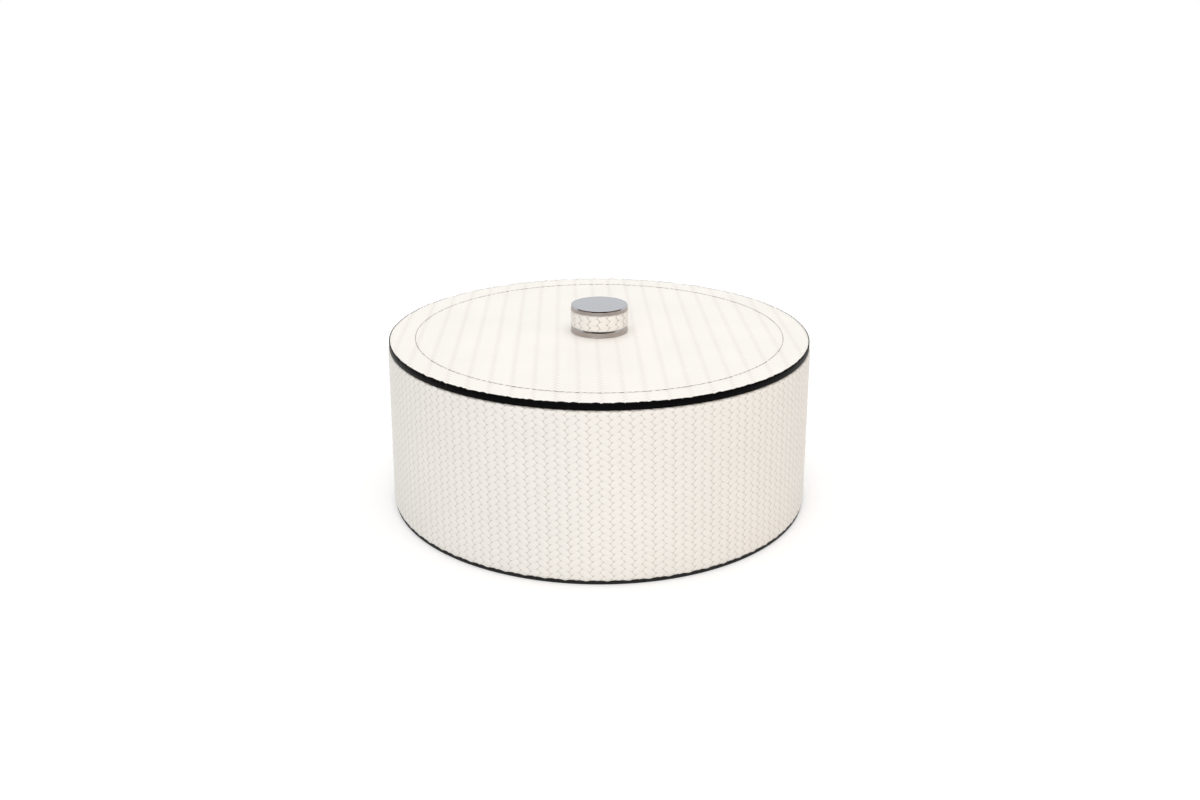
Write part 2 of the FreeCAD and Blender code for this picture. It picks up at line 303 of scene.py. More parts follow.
def along(start, stretches, distance):
    """Radius, level and heading at a distance along a path of runs and arcs, each its length and its turn."""
    radius, level = start
    heading = 0.0
    for stretch, turn in stretches:
        part = min(max(distance, 0.0), stretch)
        if turn:
            bend = stretch / turn
            ahead = heading + part / bend
            radius += bend * (math.sin(ahead) - math.sin(heading))
            level -= bend * (math.cos(ahead) - math.cos(heading))
            heading = ahead
        else:
            radius += part * math.cos(heading)
            level += part * math.sin(heading)
        distance -= stretch
    return radius, level, heading


def wrap(bm, pairs, pair_width, seam, start, stretches):
    """Lays a flat pair of columns round the Z axis along a path, then repeats it all the way round."""
    for vert in bm.verts:
        angle = seam + vert.co.x / pair_width * math.tau / pairs
        radius, level, heading = along(start, stretches, vert.co.y)
        radius += vert.co.z * math.sin(heading)
        level -= vert.co.z * math.cos(heading)
        vert.co = (radius * math.cos(angle), radius * math.sin(angle), level)
    bmesh.ops.spin(
        bm,
        geom=bm.verts[:] + bm.edges[:] + bm.faces[:],
        cent=NO_OFFSET,
        axis=UPWARDS,
        dvec=NO_OFFSET,
        angle=math.tau * (pairs - 1) / pairs,
        steps=pairs - 1,
        use_duplicate=True,
    )
    bmesh.ops.remove_doubles(bm, verts=bm.verts[:], dist=MERGE_DISTANCE)


def open_edges(bm, low, high):
    """Edges with one face whose ends lie between two levels."""
    return [
        edge
        for edge in bm.edges
        if edge.is_boundary and all(low < vert.co.z < high for vert in edge.verts)
    ]


def grow_ring(bm, edges, radius, level=None, rise=0.0):
    """Carries a ring of open edges on to another radius, and to a level or up by a rise."""
    grown = bmesh.ops.extrude_edge_only(bm, edges=edges)["geom"]
    for vert in grown:
        if isinstance(vert, bmesh.types.BMVert):
            reach = radius / vert.co.xy.length
            height = vert.co.z + rise if level is None else level
            vert.co = (vert.co.x * reach, vert.co.y * reach, height)
    return [item for item in grown if isinstance(item, bmesh.types.BMEdge)]


def keep_between(bm, inner, outer):
    """Drops the strands beyond two circles and draws in what crosses them."""
    beyond = []
    for face in bm.faces:
        reaches = [vert.co.xy.length for vert in face.verts]
        if min(reaches) >= outer or max(reaches) <= inner:
            beyond.append(face)
    bmesh.ops.delete(bm, geom=beyond, context="FACES")
    for vert in bm.verts:
        reach = vert.co.xy.length
        held = min(max(reach, inner), outer) / reach
        vert.co.x *= held
        vert.co.y *= held
    bmesh.ops.dissolve_degenerate(bm, edges=bm.edges[:], dist=MERGE_DISTANCE)


def rounded_off(distance, width):
    """Smooth hump from 1 at no distance to 0 at the width."""
    if abs(distance) >= width:
        return 0.0
    return math.cos(distance / width * math.pi / 2) ** 2


# Finishes


def add_node(tree, kind, settings=None, links=None):
    """Adds a node, gives it its settings and links its inputs."""
    made = tree.nodes.new(kind)
    for key, value in (settings or {}).items():
        if isinstance(key, str) and hasattr(made, key):
            setattr(made, key, value)
        else:
            made.inputs[key].default_value = value
    for socket, source in (links or {}).items():
        tree.links.new(source, made.inputs[socket])
    return made


def new_material(name):
    """Empty material with its output, its shader and its object coordinates."""
    material = bpy.data.materials.new(name)
    material.use_nodes = True
    tree = material.node_tree
    tree.nodes.clear()
    shader = add_node(tree, "ShaderNodeBsdfPrincipled")
    add_node(tree, "ShaderNodeOutputMaterial", links={"Surface": shader.outputs["BSDF"]})
    place = add_node(tree, "ShaderNodeTexCoord").outputs["Object"]
    return material, tree, shader, place


def set_shader(shader, **values):
    """Sets the shader's own sockets; an underscore stands for a space."""
    for key, value in values.items():
        shader.inputs[key.replace("_", " ")].default_value = value


def mix_colours(tree, factor, first, second):
    """Output of a mix from one colour to another by a factor."""
    mix = add_node(tree, "ShaderNodeMix", {"data_type": "RGBA"})
    tree.links.new(factor, mix.inputs[0])
    mix.inputs[6].default_value = first
    mix.inputs[7].default_value = second
    return mix.outputs[2]


def map_range(tree, value, settings):
    """Output of a value carried from one range to another."""
    return add_node(tree, "ShaderNodeMapRange", settings, {"Value": value}).outputs["Result"]


def noise(tree, place, size, settings=None):
    """Output of a noise whose lumps are about a size across."""
    settings = {"Scale": 1 / size, **(settings or {})}
    return add_node(tree, "ShaderNodeTexNoise", settings, {"Vector": place}).outputs["Fac"]


def add_bump(tree, shader, height, strength, distance):
    """Roughens the shader's surface by a height."""
    settings = {"Strength": strength, "Distance": distance}
    bump = add_node(tree, "ShaderNodeBump", settings, {"Height": height})
    tree.links.new(bump.outputs["Normal"], shader.inputs["Normal"])


def plaited_leather(name, leather, crease, crease_shade_start):
    """Calf leather, plait pressed in with a heated plate and sealed with a satin finish.

    The eye sees soft pillows with a low sheen, and thin brownish lines of painted shade down in the creases.
    """
    material, tree, shader, place = new_material(name)
    grain_size = 0.45 * MM
    cloud_size = 30 * MM
    depth = add_node(tree, "ShaderNodeAttribute", {"attribute_name": "valley"}).outputs["Fac"]
    crease_shade_range = {"interpolation_type": "SMOOTHSTEP", "From Min": crease_shade_start, "From Max": 0.98}
    # Painted shade: from this depth of valley on, the leather is mixed towards the darker crease colour.
    line = map_range(tree, depth, crease_shade_range)
    tone = mix_colours(tree, line, leather, crease)
    cloud = noise(tree, place, cloud_size, {"Detail": 3.0})
    fade = map_range(tree, cloud, {"From Min": 0.35, "From Max": 0.65, "To Min": 0.985, "To Max": 1.01})
    toned = add_node(tree, "ShaderNodeVectorMath", {"operation": "SCALE"}, {0: tone, "Scale": fade})
    tree.links.new(toned.outputs["Vector"], shader.inputs["Base Color"])
    grain = add_node(
        tree,
        "ShaderNodeTexVoronoi",
        {"feature": "DISTANCE_TO_EDGE", "Scale": 1 / grain_size},
        {"Vector": place},
    )
    add_bump(tree, shader, grain.outputs["Distance"], 0.35, 0.03 * MM)
    roughness = map_range(tree, depth, {"To Min": 0.42, "To Max": 0.62})
    tree.links.new(roughness, shader.inputs["Roughness"])
    set_shader(shader, IOR=1.47)
    return material


def smooth_leather(colour):
    """Calf leather, unplaited and plated smooth: an even satin face with a fine grain."""
    material, tree, shader, place = new_material("Smooth calf leather, plated")
    grain_size = 0.5 * MM
    grain = add_node(tree, "ShaderNodeTexVoronoi", {"Scale": 1 / grain_size}, {"Vector": place})
    tone = mix_colours(tree, grain.outputs["Distance"], linear("#E5DED4"), colour)
    tree.links.new(tone, shader.inputs["Base Color"])
    add_bump(tree, shader, grain.outputs["Distance"], 0.4, 0.05 * MM)
    set_shader(shader, Roughness=0.5, IOR=1.47)
    return material


def suede(name, colour, brushed, sheen):
    """Split leather with a brushed nap: matt, with paler and darker strokes and a soft rim of light."""
    material, tree, shader, place = new_material(name)
    stroke_size = 9 * MM
    nap_size = 0.5 * MM
    nap_share = 0.45
    strokes = noise(tree, place, stroke_size, {"Detail": 5.0, "Roughness": 0.6, "Distortion": 0.8})
    nap = noise(tree, place, nap_size, {"Detail": 3.0})
    both = add_node(
        tree,
        "ShaderNodeMath",
        {"operation": "MULTIPLY_ADD", 1: nap_share},
        {0: nap, 2: strokes},
    )
    spread = map_range(tree, both.outputs["Value"], {"From Min": 0.5, "From Max": 0.95})
    tone = mix_colours(tree, spread, colour, linear(brushed))
    tree.links.new(tone, shader.inputs["Base Color"])
    add_bump(tree, shader, nap, 0.6, 0.12 * MM)
    set_shader(shader, Roughness=0.95, Sheen_Weight=sheen, Sheen_Roughness=0.5)
    return material


def edge_paint(colour):
    """Acrylic edge paint, laid on in coats and burnished: a wet black line with a slightly uneven skin."""
    material, tree, shader, place = new_material("Acrylic edge paint, burnished")
    wave_size = 4 * MM
    wave = noise(tree, place, wave_size, {"Detail": 2.0})
    tone = mix_colours(tree, wave, colour, linear("#050506"))
    tree.links.new(tone, shader.inputs["Base Color"])
    add_bump(tree, shader, wave, 0.25, 0.05 * MM)
    set_shader(shader, Roughness=0.4, IOR=1.45, Specular_IOR_Level=0.05)
    return material


def waxed_thread(colour):
    """Twisted polyester thread, waxed: a thin grey-brown line with a little shine on each stitch."""
    material, tree, shader, place = new_material("Polyester thread, waxed")
    twist_size = 0.6 * MM
    twist = noise(tree, place, twist_size)
    tone = mix_colours(tree, twist, colour, linear("#9A8D80"))
    tree.links.new(tone, shader.inputs["Base Color"])
    set_shader(shader, Roughness=0.55, IOR=1.5)
    return material


def polished_metal(colour):
    """Stainless steel, turned and polished: a clear mirror, with its upright faces left brushed and tinted
    warmer as a painted reflection.

    The turning marks are drawn coarser than the real ones, which are too fine to show.
    """
    material, tree, shader, place = new_material("Stainless steel, turned and polished")
    ring_pitch = 1.57 * MM
    pitch_at_scale_one = math.tau / 20
    brushed_roughness = 0.26
    brushed = add_node(tree, "ShaderNodeAttribute", {"attribute_name": "brushed"}).outputs["Fac"]
    marks = {"wave_type": "RINGS", "rings_direction": "Z", "Distortion": 0.4}
    marks["Scale"] = pitch_at_scale_one / ring_pitch
    rings = add_node(tree, "ShaderNodeTexWave", marks, {"Vector": place})
    polished = map_range(tree, rings.outputs["Fac"], {"To Min": 0.05, "To Max": 0.08})
    roughness = add_node(
        tree,
        "ShaderNodeMath",
        {"operation": "MULTIPLY_ADD", 1: brushed_roughness},
        {0: brushed, 2: polished},
    )
    tree.links.new(roughness.outputs["Value"], shader.inputs["Roughness"])
    # Painted reflection: the brushed upright faces get a warmer, browner colour that stands in for the lid
    # mirrored in them.
    tone = mix_colours(tree, brushed, colour, linear("#B5ADA8"))
    tree.links.new(tone, shader.inputs["Base Color"])
    set_shader(shader, Metallic=1.0)
    return material


def plated_steel(colour):
    """Steel, machined and zinc plated: grey with a dull shine and a faint mottling of the plating."""
    material, tree, shader, place = new_material("Steel, zinc plated")
    spangle_size = 1.5 * MM
    spangle = noise(tree, place, spangle_size)
    roughness = map_range(tree, spangle, {"To Min": 0.28, "To Max": 0.42})
    tree.links.new(roughness, shader.inputs["Roughness"])
    set_shader(shader, Base_Color=colour, Metallic=1.0)
    return material


def pressed_board(name, colour, fleck, fibre_size):
    """Board pressed from fibres: matt and warm, flecked with fibres that lie every way."""
    material, tree, shader, place = new_material(name)
    fibres = noise(tree, place, fibre_size, {"Detail": 6.0, "Roughness": 0.7})
    tone = mix_colours(tree, fibres, colour, linear(fleck))
    tree.links.new(tone, shader.inputs["Base Color"])
    add_bump(tree, shader, fibres, 0.5, 0.08 * MM)
    set_shader(shader, Roughness=0.85)
    return material


def studio_floor(colour):
    """Matt white paper sweep that the camera, metal and gloss see as white, with the shadow kept on it.

    It glows a little more further out, where the lamps reach it less.
    """
    material, tree, shader, place = new_material("Paper sweep, matt")
    seen = seen_directly(tree)
    set_shader(shader, Base_Color=colour, Roughness=0.9, Specular_IOR_Level=0.1)
    reach = add_node(tree, "ShaderNodeVectorMath", {"operation": "LENGTH"}, {0: place})
    away = {"From Min": 0.2, "From Max": 1.5, "To Min": 0.25, "To Max": 0.66}
    strength = map_range(tree, reach.outputs["Value"], away)
    glow = add_node(tree, "ShaderNodeMath", {"operation": "MULTIPLY"}, {0: seen, 1: strength})
    tree.links.new(glow.outputs["Value"], shader.inputs["Emission Strength"])
    shader.inputs["Emission Color"].default_value = (1.0, 1.0, 1.0, 1.0)
    return material


def seen_directly(tree):
    """Factor that is 1 for rays of the camera, of gloss and of glass."""
    path = add_node(tree, "ShaderNodeLightPath").outputs
    gloss = add_node(
        tree,
        "ShaderNodeMath",
        {"operation": "ADD"},
        {0: path["Is Glossy Ray"], 1: path["Is Transmission Ray"]},
    )
    total = add_node(
        tree,
        "ShaderNodeMath",
        {"operation": "ADD", "use_clamp": True},
        {0: path["Is Camera Ray"], 1: gloss.outputs["Value"]},
    )
    return total.outputs["Value"]


# Pieces


def finish_piece(name, bm, material, body, slot, *replaced):
    """Makes the mesh an object that rides on its body in place of the plain solids named."""
    for face in bm.faces:
        face.smooth = True
    mesh = bpy.data.meshes.new(name)
    bm.to_mesh(mesh)
    bm.free()
    mesh.materials.append(material)
    piece = bpy.data.objects.new(name, mesh)
    bpy.context.scene.collection.objects.link(piece)
    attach(piece, body)
    if replaced:
        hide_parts(*replaced)
    return piece


def keep_flats(piece):
    """Shades the flats flat and the eased edges round."""
    normals = piece.modifiers.new("Weighted normals", "WEIGHTED_NORMAL")
    normals.keep_sharp = True


def make_side_leather(sizes, colours):
    """Leather plaited round the wall, turned over the rim and in under the wall."""
    pair_width = math.tau * SIDE.outer / sizes.side_pairs
    plait = Plait(
        column=pair_width / 2,
        tooth=sizes.tooth,
        zigzag=sizes.zigzag,
        parting=sizes.side_crease * 0.96,
        meeting=sizes.side_crease,
        between=0.82,
        crossing=sizes.side_crease * 0.48,
        shoulder=0.36 * MM,
        rise=0.34 * MM,
    )
    quarter = math.pi / 2
    under = 1.5 * MM
    inner_rounding = 0.3 * MM
    wall = SIDE.high - SIDE.low - sizes.foot_rounding - sizes.rim_rounding
    over_rim = SIDE.outer - sizes.rim_rounding - inner_rounding - CORE.inner
    start = (SIDE.outer - sizes.foot_rounding - under, SIDE.low)
    stretches = [
        (under, 0.0),
        (sizes.foot_rounding * quarter, quarter),
        (wall, 0.0),
        (sizes.rim_rounding * quarter, quarter),
        (over_rim, 0.0),
        (inner_rounding * quarter, quarter),
    ]
    total = sum(stretch for stretch, turn in stretches)
    foot = under + sizes.foot_rounding * quarter
    right_point_level = 45.6 * MM
    phase = foot + right_point_level - SIDE.low - sizes.foot_rounding
    seam = FRONT + math.radians(0.33)
    bm = bmesh.new()
    add_plait(bm, plait, 0.0, total, phase)
    for vert in bm.verts:
        vert.co.x -= (vert.co.y - phase) * math.tan(sizes.side_lean)
    wrap(bm, sizes.side_pairs, pair_width, seam, start, stretches)
    middle = (SIDE.low + SIDE.high) / 2
    turned_under = 1.0 * MM
    top = open_edges(bm, middle, SIDE.high)
    bottom = open_edges(bm, 0.0, middle)
    top = grow_ring(bm, top, CORE.inner, SIDE.high - turned_under)
    top = grow_ring(bm, top, CORE.outer, SIDE.high - turned_under)
    top = grow_ring(bm, top, CORE.outer, SIDE.low + turned_under)
    top = grow_ring(bm, top, SIDE.inner, SIDE.low + turned_under)
    top = grow_ring(bm, top, SIDE.inner, SIDE.low)
    bmesh.ops.bridge_loops(bm, edges=top + bottom)
    bmesh.ops.recalc_face_normals(bm, faces=bm.faces[:])
    leather = plaited_leather("Calf leather, plait embossed", colours.leather, colours.side_crease, 0.5)
    finish_piece("side_leather_plaited", bm, leather, "box", "plaited_leather", "side_leather")


def make_base(colours):
    """Black suede sheet that the box stands on."""
    edge = 0.3 * MM
    bm = turned(
        [
            (0.0, BASE.low, 0.0),
            (BASE.outer, BASE.low, edge),
            (BASE.outer, BASE.high, edge),
            (0.0, BASE.high, 0.0),
        ]
    )
    material = suede("Split leather, dyed black", colours.base, "#161515", 0.1)
    piece = finish_piece("base_suede", bm, material, "box", "black_suede", "base_sheet")
    keep_flats(piece)


def make_linings(colours):
    """Suede round the inside of the wall, and the suede pad on the floor."""
    material = suede("Split leather, brushed", colours.lining, "#C7B8A3", 0.35)
    top = LINING_BOARD.high
    bm = turned(
        [
            (LINING.inner, LINING.low, 0.0),
            (LINING_BOARD.inner, LINING.low, 0.0),
            (LINING_BOARD.inner, top, 0.0),
            (LINING.outer, top, 0.0),
            (LINING.outer, LINING.high, 0.2 * MM),
            (LINING.inner, LINING.high, 0.7 * MM),
        ]
    )
    lining = finish_piece("wall_lining_suede", bm, material, "box", "lining_suede", "lining_suede")
    keep_flats(lining)
    make_floor_pad(material)


def make_floor_pad(material):
    """Foam pad wrapped in suede, crowned a little and drawn in round its edge."""
    crown = 0.5 * MM
    rounding = 2.0 * MM
    lift = 0.1 * MM
    dimple_across = 23 * MM
    dimple_along = 17 * MM
    dimple_share = 0.1
    bm = bmesh.new()
    add_section(
        bm,
        [
            (0.0, FLOOR_CARD.high, 0.0),
            (FLOOR_CARD.outer, FLOOR_CARD.high, 0.0),
            (FLOOR_CARD.outer, FLOOR.low, 0.0),
            (FLOOR.outer - lift, FLOOR.low, 0.0),
            (FLOOR.outer, FLOOR.high - crown, rounding),
            (0.0, FLOOR.high - crown, 0.0),
        ],
    )
    top = max(bm.edges, key=lambda edge: edge.verts[0].co.z + edge.verts[1].co.z + edge.calc_length())
    bmesh.ops.subdivide_edges(bm, edges=[top], cuts=24)
    turn_section(bm, 128)
    for vert in bm.verts:
        if vert.co.z > FLOOR.high - crown - rounding / 2:
            spread = vert.co.xy.length / FLOOR.outer
            dimple = math.sin(vert.co.x / dimple_across) * math.cos(vert.co.y / dimple_along)
            vert.co.z += crown * (1 - spread**4) * (1 - dimple_share + dimple_share * dimple)
    pad = finish_piece("floor_pad", bm, material, "box", "lining_suede", "floor_suede", "floor_foam")


def make_lid_leather(sizes, colours):
    """Plaited leather on the lid, drawn down along its stitch line and pinched at its edge."""
    plait = Plait(
        column=sizes.lid_spacing / 2,
        tooth=sizes.tooth,
        zigzag=sizes.zigzag,
        parting=sizes.lid_crease,
        meeting=sizes.lid_crease * 0.35,
        between=0.8,
        crossing=sizes.lid_crease * 0.25,
        shoulder=0.6 * MM,
        rise=0.04 * MM,
    )
    bm = bmesh.new()
    reach = LID.outer + plait.tooth
    add_plait(bm, plait, -reach, reach, 0.0)
    first = bm.verts[:] + bm.edges[:] + bm.faces[:]
    pairs = math.ceil(LID.outer / sizes.lid_spacing) + 1
    for pair in range(-pairs, pairs + 1):
        if pair:
            copy = bmesh.ops.duplicate(bm, geom=first)["geom"]
            verts = [item for item in copy if isinstance(item, bmesh.types.BMVert)]
            bmesh.ops.translate(bm, verts=verts, vec=(pair * sizes.lid_spacing, 0.0, 0.0))
    bmesh.ops.remove_doubles(bm, verts=bm.verts[:], dist=MERGE_DISTANCE)
    bmesh.ops.translate(bm, verts=bm.verts[:], vec=(-sizes.lid_offset, 0.0, 0.0))
    turn = Matrix.Rotation(sizes.lid_turn, 3, "Z")
    bmesh.ops.rotate(bm, verts=bm.verts[:], cent=NO_OFFSET, matrix=turn)
    keep_between(bm, LID.inner, LID.outer)
    stitch_radius = LID_EDGE.outer - sizes.stitch_inset
    groove_depth = 0.22 * MM
    groove_width = 1.6 * MM
    edge_width = 2.2 * MM
    swell = 0.2 * MM
    pinch = 5
    deepest = 0.5 * MM
    for vert in bm.verts:
        reach = vert.co.xy.length
        near_edge = rounded_off(LID.outer - reach, edge_width)
        sunk = min(-vert.co.z * (1 + pinch * near_edge), deepest)
        groove = groove_depth * rounded_off(reach - stitch_radius, groove_width)
        vert.co.z = LID.high + swell * near_edge - sunk - groove
    middle = (LID.inner + LID.outer) / 2
    outside = [edge for edge in bm.edges if edge.is_boundary and edge.verts[0].co.xy.length > middle]
    inside = [edge for edge in bm.edges if edge.is_boundary and edge.verts[0].co.xy.length < middle]
    outside = grow_ring(bm, outside, LID.outer, LID.low)
    inside = grow_ring(bm, inside, LID.inner, LID.low)
    bmesh.ops.bridge_loops(bm, edges=outside + inside)
    bmesh.ops.recalc_face_normals(bm, faces=bm.faces[:])
    leather = plaited_leather("Calf leather, plait pressed flat", colours.leather, colours.lid_crease, 0.4)
    finish_piece("lid_leather_plaited", bm, leather, "lid", "plaited_leather", "lid_leather")


def make_lid_underside(colours):
    """Smooth leather glued under the lid."""
    edge = 0.25 * MM
    bm = turned(
        [
            (LID_UNDER.inner, LID_UNDER.low, 0.0),
            (LID_UNDER.outer, LID_UNDER.low, edge),
            (LID_UNDER.outer, LID_UNDER.high, 0.0),
            (LID_UNDER.inner, LID_UNDER.high, 0.0),
        ]
    )
    material = smooth_leather(colours.smooth_leather)
    piece = finish_piece("lid_underside_leather", bm, material, "lid", "smooth_leather", "lid_under_leather")
    keep_flats(piece)


def make_lid_edge(colours):
    """Painted edge of the lid; its upper line follows the plait of the leather beside it."""
    eased = 0.12 * MM
    rounding = 0.3 * MM
    corner = rounding * 0.3
    leather = bpy.data.objects["lid_leather_plaited"].data.vertices
    border = [
        vert.co
        for vert in leather
        if vert.co.z > (LID.low + LID.high) / 2 and vert.co.xy.length > LID.outer - MERGE_DISTANCE
    ]
    border.sort(key=lambda point: math.atan2(point.y, point.x))
    closest = 0.05 * MM
    apart = [
        point
        for place, point in enumerate(border)
        if (point.xy - border[place - 1].xy).length > closest
    ]
    bm = bmesh.new()
    reach = LID_EDGE.outer / LID.outer
    line = [bm.verts.new((point.x * reach, point.y * reach, point.z - eased)) for point in apart]
    upper = [bm.edges.new((line[place - 1], line[place])) for place in range(len(line))]
    lower = grow_ring(bm, upper, LID_EDGE.outer, LID_EDGE.low + rounding)
    lower = grow_ring(bm, lower, LID_EDGE.outer - corner, LID_EDGE.low + corner)
    lower = grow_ring(bm, lower, LID_EDGE.outer - rounding, LID_EDGE.low)
    lower = grow_ring(bm, lower, LID_EDGE.inner, LID_EDGE.low)
    upper = grow_ring(bm, upper, LID_EDGE.outer - eased, rise=eased)
    upper = grow_ring(bm, upper, LID_EDGE.inner)
    bmesh.ops.bridge_loops(bm, edges=upper + lower)
    bmesh.ops.recalc_face_normals(bm, faces=bm.faces[:])
    finish_piece("lid_edge_painted", bm, edge_paint(colours.edge_paint), "lid", "edge_paint", "lid_edge")


def make_stitching(sizes, colours):
    """Ring of stitches through the lid's leather, each one sunk at its ends."""
    radius = LID_EDGE.outer - sizes.stitch_inset
    count = round(math.tau * radius / sizes.stitch_pitch)
    overlap = 0.25 * MM
    slant = math.radians(3)
    sunk = sizes.thread * 0.52
    bm = bmesh.new()
    bmesh.ops.create_uvsphere(bm, u_segments=8, v_segments=6, radius=0.5)
    size = (sizes.stitch_pitch + overlap, sizes.thread, sizes.thread)
    bmesh.ops.scale(bm, verts=bm.verts[:], vec=size)
    bmesh.ops.rotate(bm, verts=bm.verts[:], cent=NO_OFFSET, matrix=Matrix.Rotation(slant, 3, "Z"))
    bmesh.ops.translate(bm, verts=bm.verts[:], vec=(0.0, -radius, LID.high - sunk))
    bmesh.ops.spin(
        bm,
        geom=bm.verts[:] + bm.edges[:] + bm.faces[:],
        cent=NO_OFFSET,
        axis=UPWARDS,
        dvec=NO_OFFSET,
        angle=math.tau * (count - 1) / count,
        steps=count - 1,
        use_duplicate=True,
    )
    finish_piece("lid_stitching", bm, waxed_thread(colours.thread), "lid", "plaited_leather")


def make_plug(colours):
    """Suede over the plug that centres the lid in the box."""
    bm = turned(
        [
            (0.0, PLUG.low, 0.0),
            (PLUG.outer, PLUG.low, 1.0 * MM),
            (PLUG.outer, PLUG.high, 0.0),
            (PLUG_BOARD.outer, PLUG.high, 0.0),
            (PLUG_BOARD.outer, PLUG_BOARD.low, 0.0),
            (0.0, PLUG_BOARD.low, 0.0),
        ]
    )
    material = suede("Split leather on the plug, brushed", colours.lining, "#C7B8A3", 0.35)
    piece = finish_piece("plug_suede_cover", bm, material, "lid", "lining_suede", "plug_suede")
    keep_flats(piece)


def mark_brushed(piece):
    """Marks the upright faces of a turned piece as brushed; the mark also gives them the metal's painted warm
    reflection.
    """
    tilt_limit = 0.145
    brushed = piece.data.attributes.new("brushed", "FLOAT", "FACE")
    for polygon in piece.data.polygons:
        brushed.data[polygon.index].value = float(abs(polygon.normal.z) < tilt_limit)


def make_knob_metal(sizes, colours):
    """Ring that the knob stands on, and its cap with the core inside the leather."""
    metal = polished_metal(colours.metal)
    taper = sizes.metal_taper
    taper_slope = 0.16
    narrowed = taper * taper_slope
    draft = 0.13
    eased = 0.08 * MM
    ring_drawn = (KNOB_RING.high - taper - KNOB_RING.low) * draft
    bm = turned(
        [
            (KNOB_RING.inner, KNOB_RING.low, 0.0),
            (KNOB_RING.outer, KNOB_RING.low, eased),
            (KNOB_RING.outer - ring_drawn, KNOB_RING.high - taper, eased),
            (KNOB_RING.outer - ring_drawn - narrowed, KNOB_RING.high, eased / 2),
            (KNOB_RING.inner, KNOB_RING.high, 0.0),
        ],
        steps=96,
    )
    ring = finish_piece("knob_ring_turned", bm, metal, "lid", "polished_metal", "knob_ring")
    mark_brushed(ring)
    keep_flats(ring)
    thread_top = KNOB_SCREW.high + 0.5 * MM
    thread_radius = 2.0 * MM
    cap_drawn = (KNOB_CAP.high - taper - KNOB_BAND.high) * draft
    bm = turned(
        [
            (thread_radius, KNOB_CAP.low, 0.0),
            (KNOB_BAND.inner, KNOB_CAP.low, 0.0),
            (KNOB_BAND.inner, KNOB_BAND.high, 0.0),
            (KNOB_CAP.outer, KNOB_BAND.high, eased),
            (KNOB_CAP.outer - cap_drawn, KNOB_CAP.high - taper, eased),
            (KNOB_CAP.outer - cap_drawn - narrowed, KNOB_CAP.high, 1.5 * eased),
            (0.0, KNOB_CAP.high, 0.0),
            (0.0, thread_top, 0.0),
            (thread_radius, thread_top, 0.0),
        ],
        steps=96,
    )
    cap = finish_piece("knob_cap_turned", bm, metal, "lid", "polished_metal", "knob_cap")
    mark_brushed(cap)
    keep_flats(cap)


def make_knob_leather(sizes, colours):
    """Plaited leather band round the knob, between its two metal edges."""
    pair_width = math.tau * KNOB_BAND.outer / sizes.knob_pairs
    plait = Plait(
        column=pair_width / 2,
        tooth=sizes.knob_tooth,
        zigzag=sizes.zigzag,
        parting=sizes.knob_crease,
        meeting=sizes.knob_crease,
        between=0.85,
        crossing=sizes.knob_crease * 0.05,
        shoulder=0.18 * MM,
        rise=0.02 * MM,
    )
    quarter = math.pi / 2
    rounding = 0.25 * MM
    inward = 0.2 * MM
    height = KNOB_BAND.high - KNOB_BAND.low
    right_point_rise = 1.1 * MM
    start = (KNOB_BAND.outer - rounding - inward, KNOB_BAND.low)
    stretches = [
        (inward, 0.0),
        (rounding * quarter, quarter),
        (height - 2 * rounding, 0.0),
        (rounding * quarter, quarter),
        (inward, 0.0),
    ]
    total = sum(stretch for stretch, turn in stretches)
    bm = bmesh.new()
    add_plait(bm, plait, 0.0, total, total / 2 + right_point_rise)
    seam = FRONT - math.radians(1.7)
    wrap(bm, sizes.knob_pairs, pair_width, seam, start, stretches)
    middle = (KNOB_BAND.low + KNOB_BAND.high) / 2
    top = open_edges(bm, middle, KNOB_BAND.high + MM)
    bottom = open_edges(bm, KNOB_BAND.low - MM, middle)
    top = grow_ring(bm, top, KNOB_BAND.inner, KNOB_BAND.high)
    bottom = grow_ring(bm, bottom, KNOB_BAND.inner, KNOB_BAND.low)
    bmesh.ops.bridge_loops(bm, edges=top + bottom)
    bmesh.ops.recalc_face_normals(bm, faces=bm.faces[:])
    leather = plaited_leather("Calf leather, plait cut fine", colours.leather, colours.knob_crease, 0.35)
    finish_piece("knob_leather_plaited", bm, leather, "lid", "plaited_leather", "knob_leather")


def finish_carcass(colours):
    """Gives the hidden boards, cards and fasteners the finish of what they are."""
    board = pressed_board("Fibreboard, pressed", colours.board, "#8E6E48", 1.2 * MM)
    card = pressed_board("Grey card, calendered", colours.card, "#8D867A", 0.8 * MM)
    steel = plated_steel(colours.steel)
    finishes = {
        board: ("wall_core", "base_board", "plug_board"),
        card: ("lining_board", "base_filler", "floor_card", "lid_board"),
        steel: ("knob_washer", "knob_screw"),
    }
    for material, nodes in finishes.items():
        for node in nodes:
            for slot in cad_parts[node].material_slots:
                slot.material = material


# Studio


def add_lamp(name, place, target, size, watts, tint):
    """Square softbox that faces a point."""
    data = bpy.data.lights.new(name, "AREA")
    data.shape = "SQUARE"
    data.size = size
    data.energy = watts
    data.color = linear(tint)[:3]
    lamp = bpy.data.objects.new(name, data)
    lamp.location = place
    lamp.rotation_euler = (Vector(target) - Vector(place)).to_track_quat("-Z", "Y").to_euler()
    bpy.context.scene.collection.objects.link(lamp)


def make_floor(colours):
    """Large pale floor under the box."""
    reach = 6.0
    bm = bmesh.new()
    bmesh.ops.create_circle(bm, cap_ends=True, segments=64, radius=reach)
    mesh = bpy.data.meshes.new("studio_floor")
    bm.to_mesh(mesh)
    bm.free()
    mesh.materials.append(studio_floor(colours.floor))
    floor = bpy.data.objects.new("studio_floor", mesh)
    bpy.context.scene.collection.objects.link(floor)


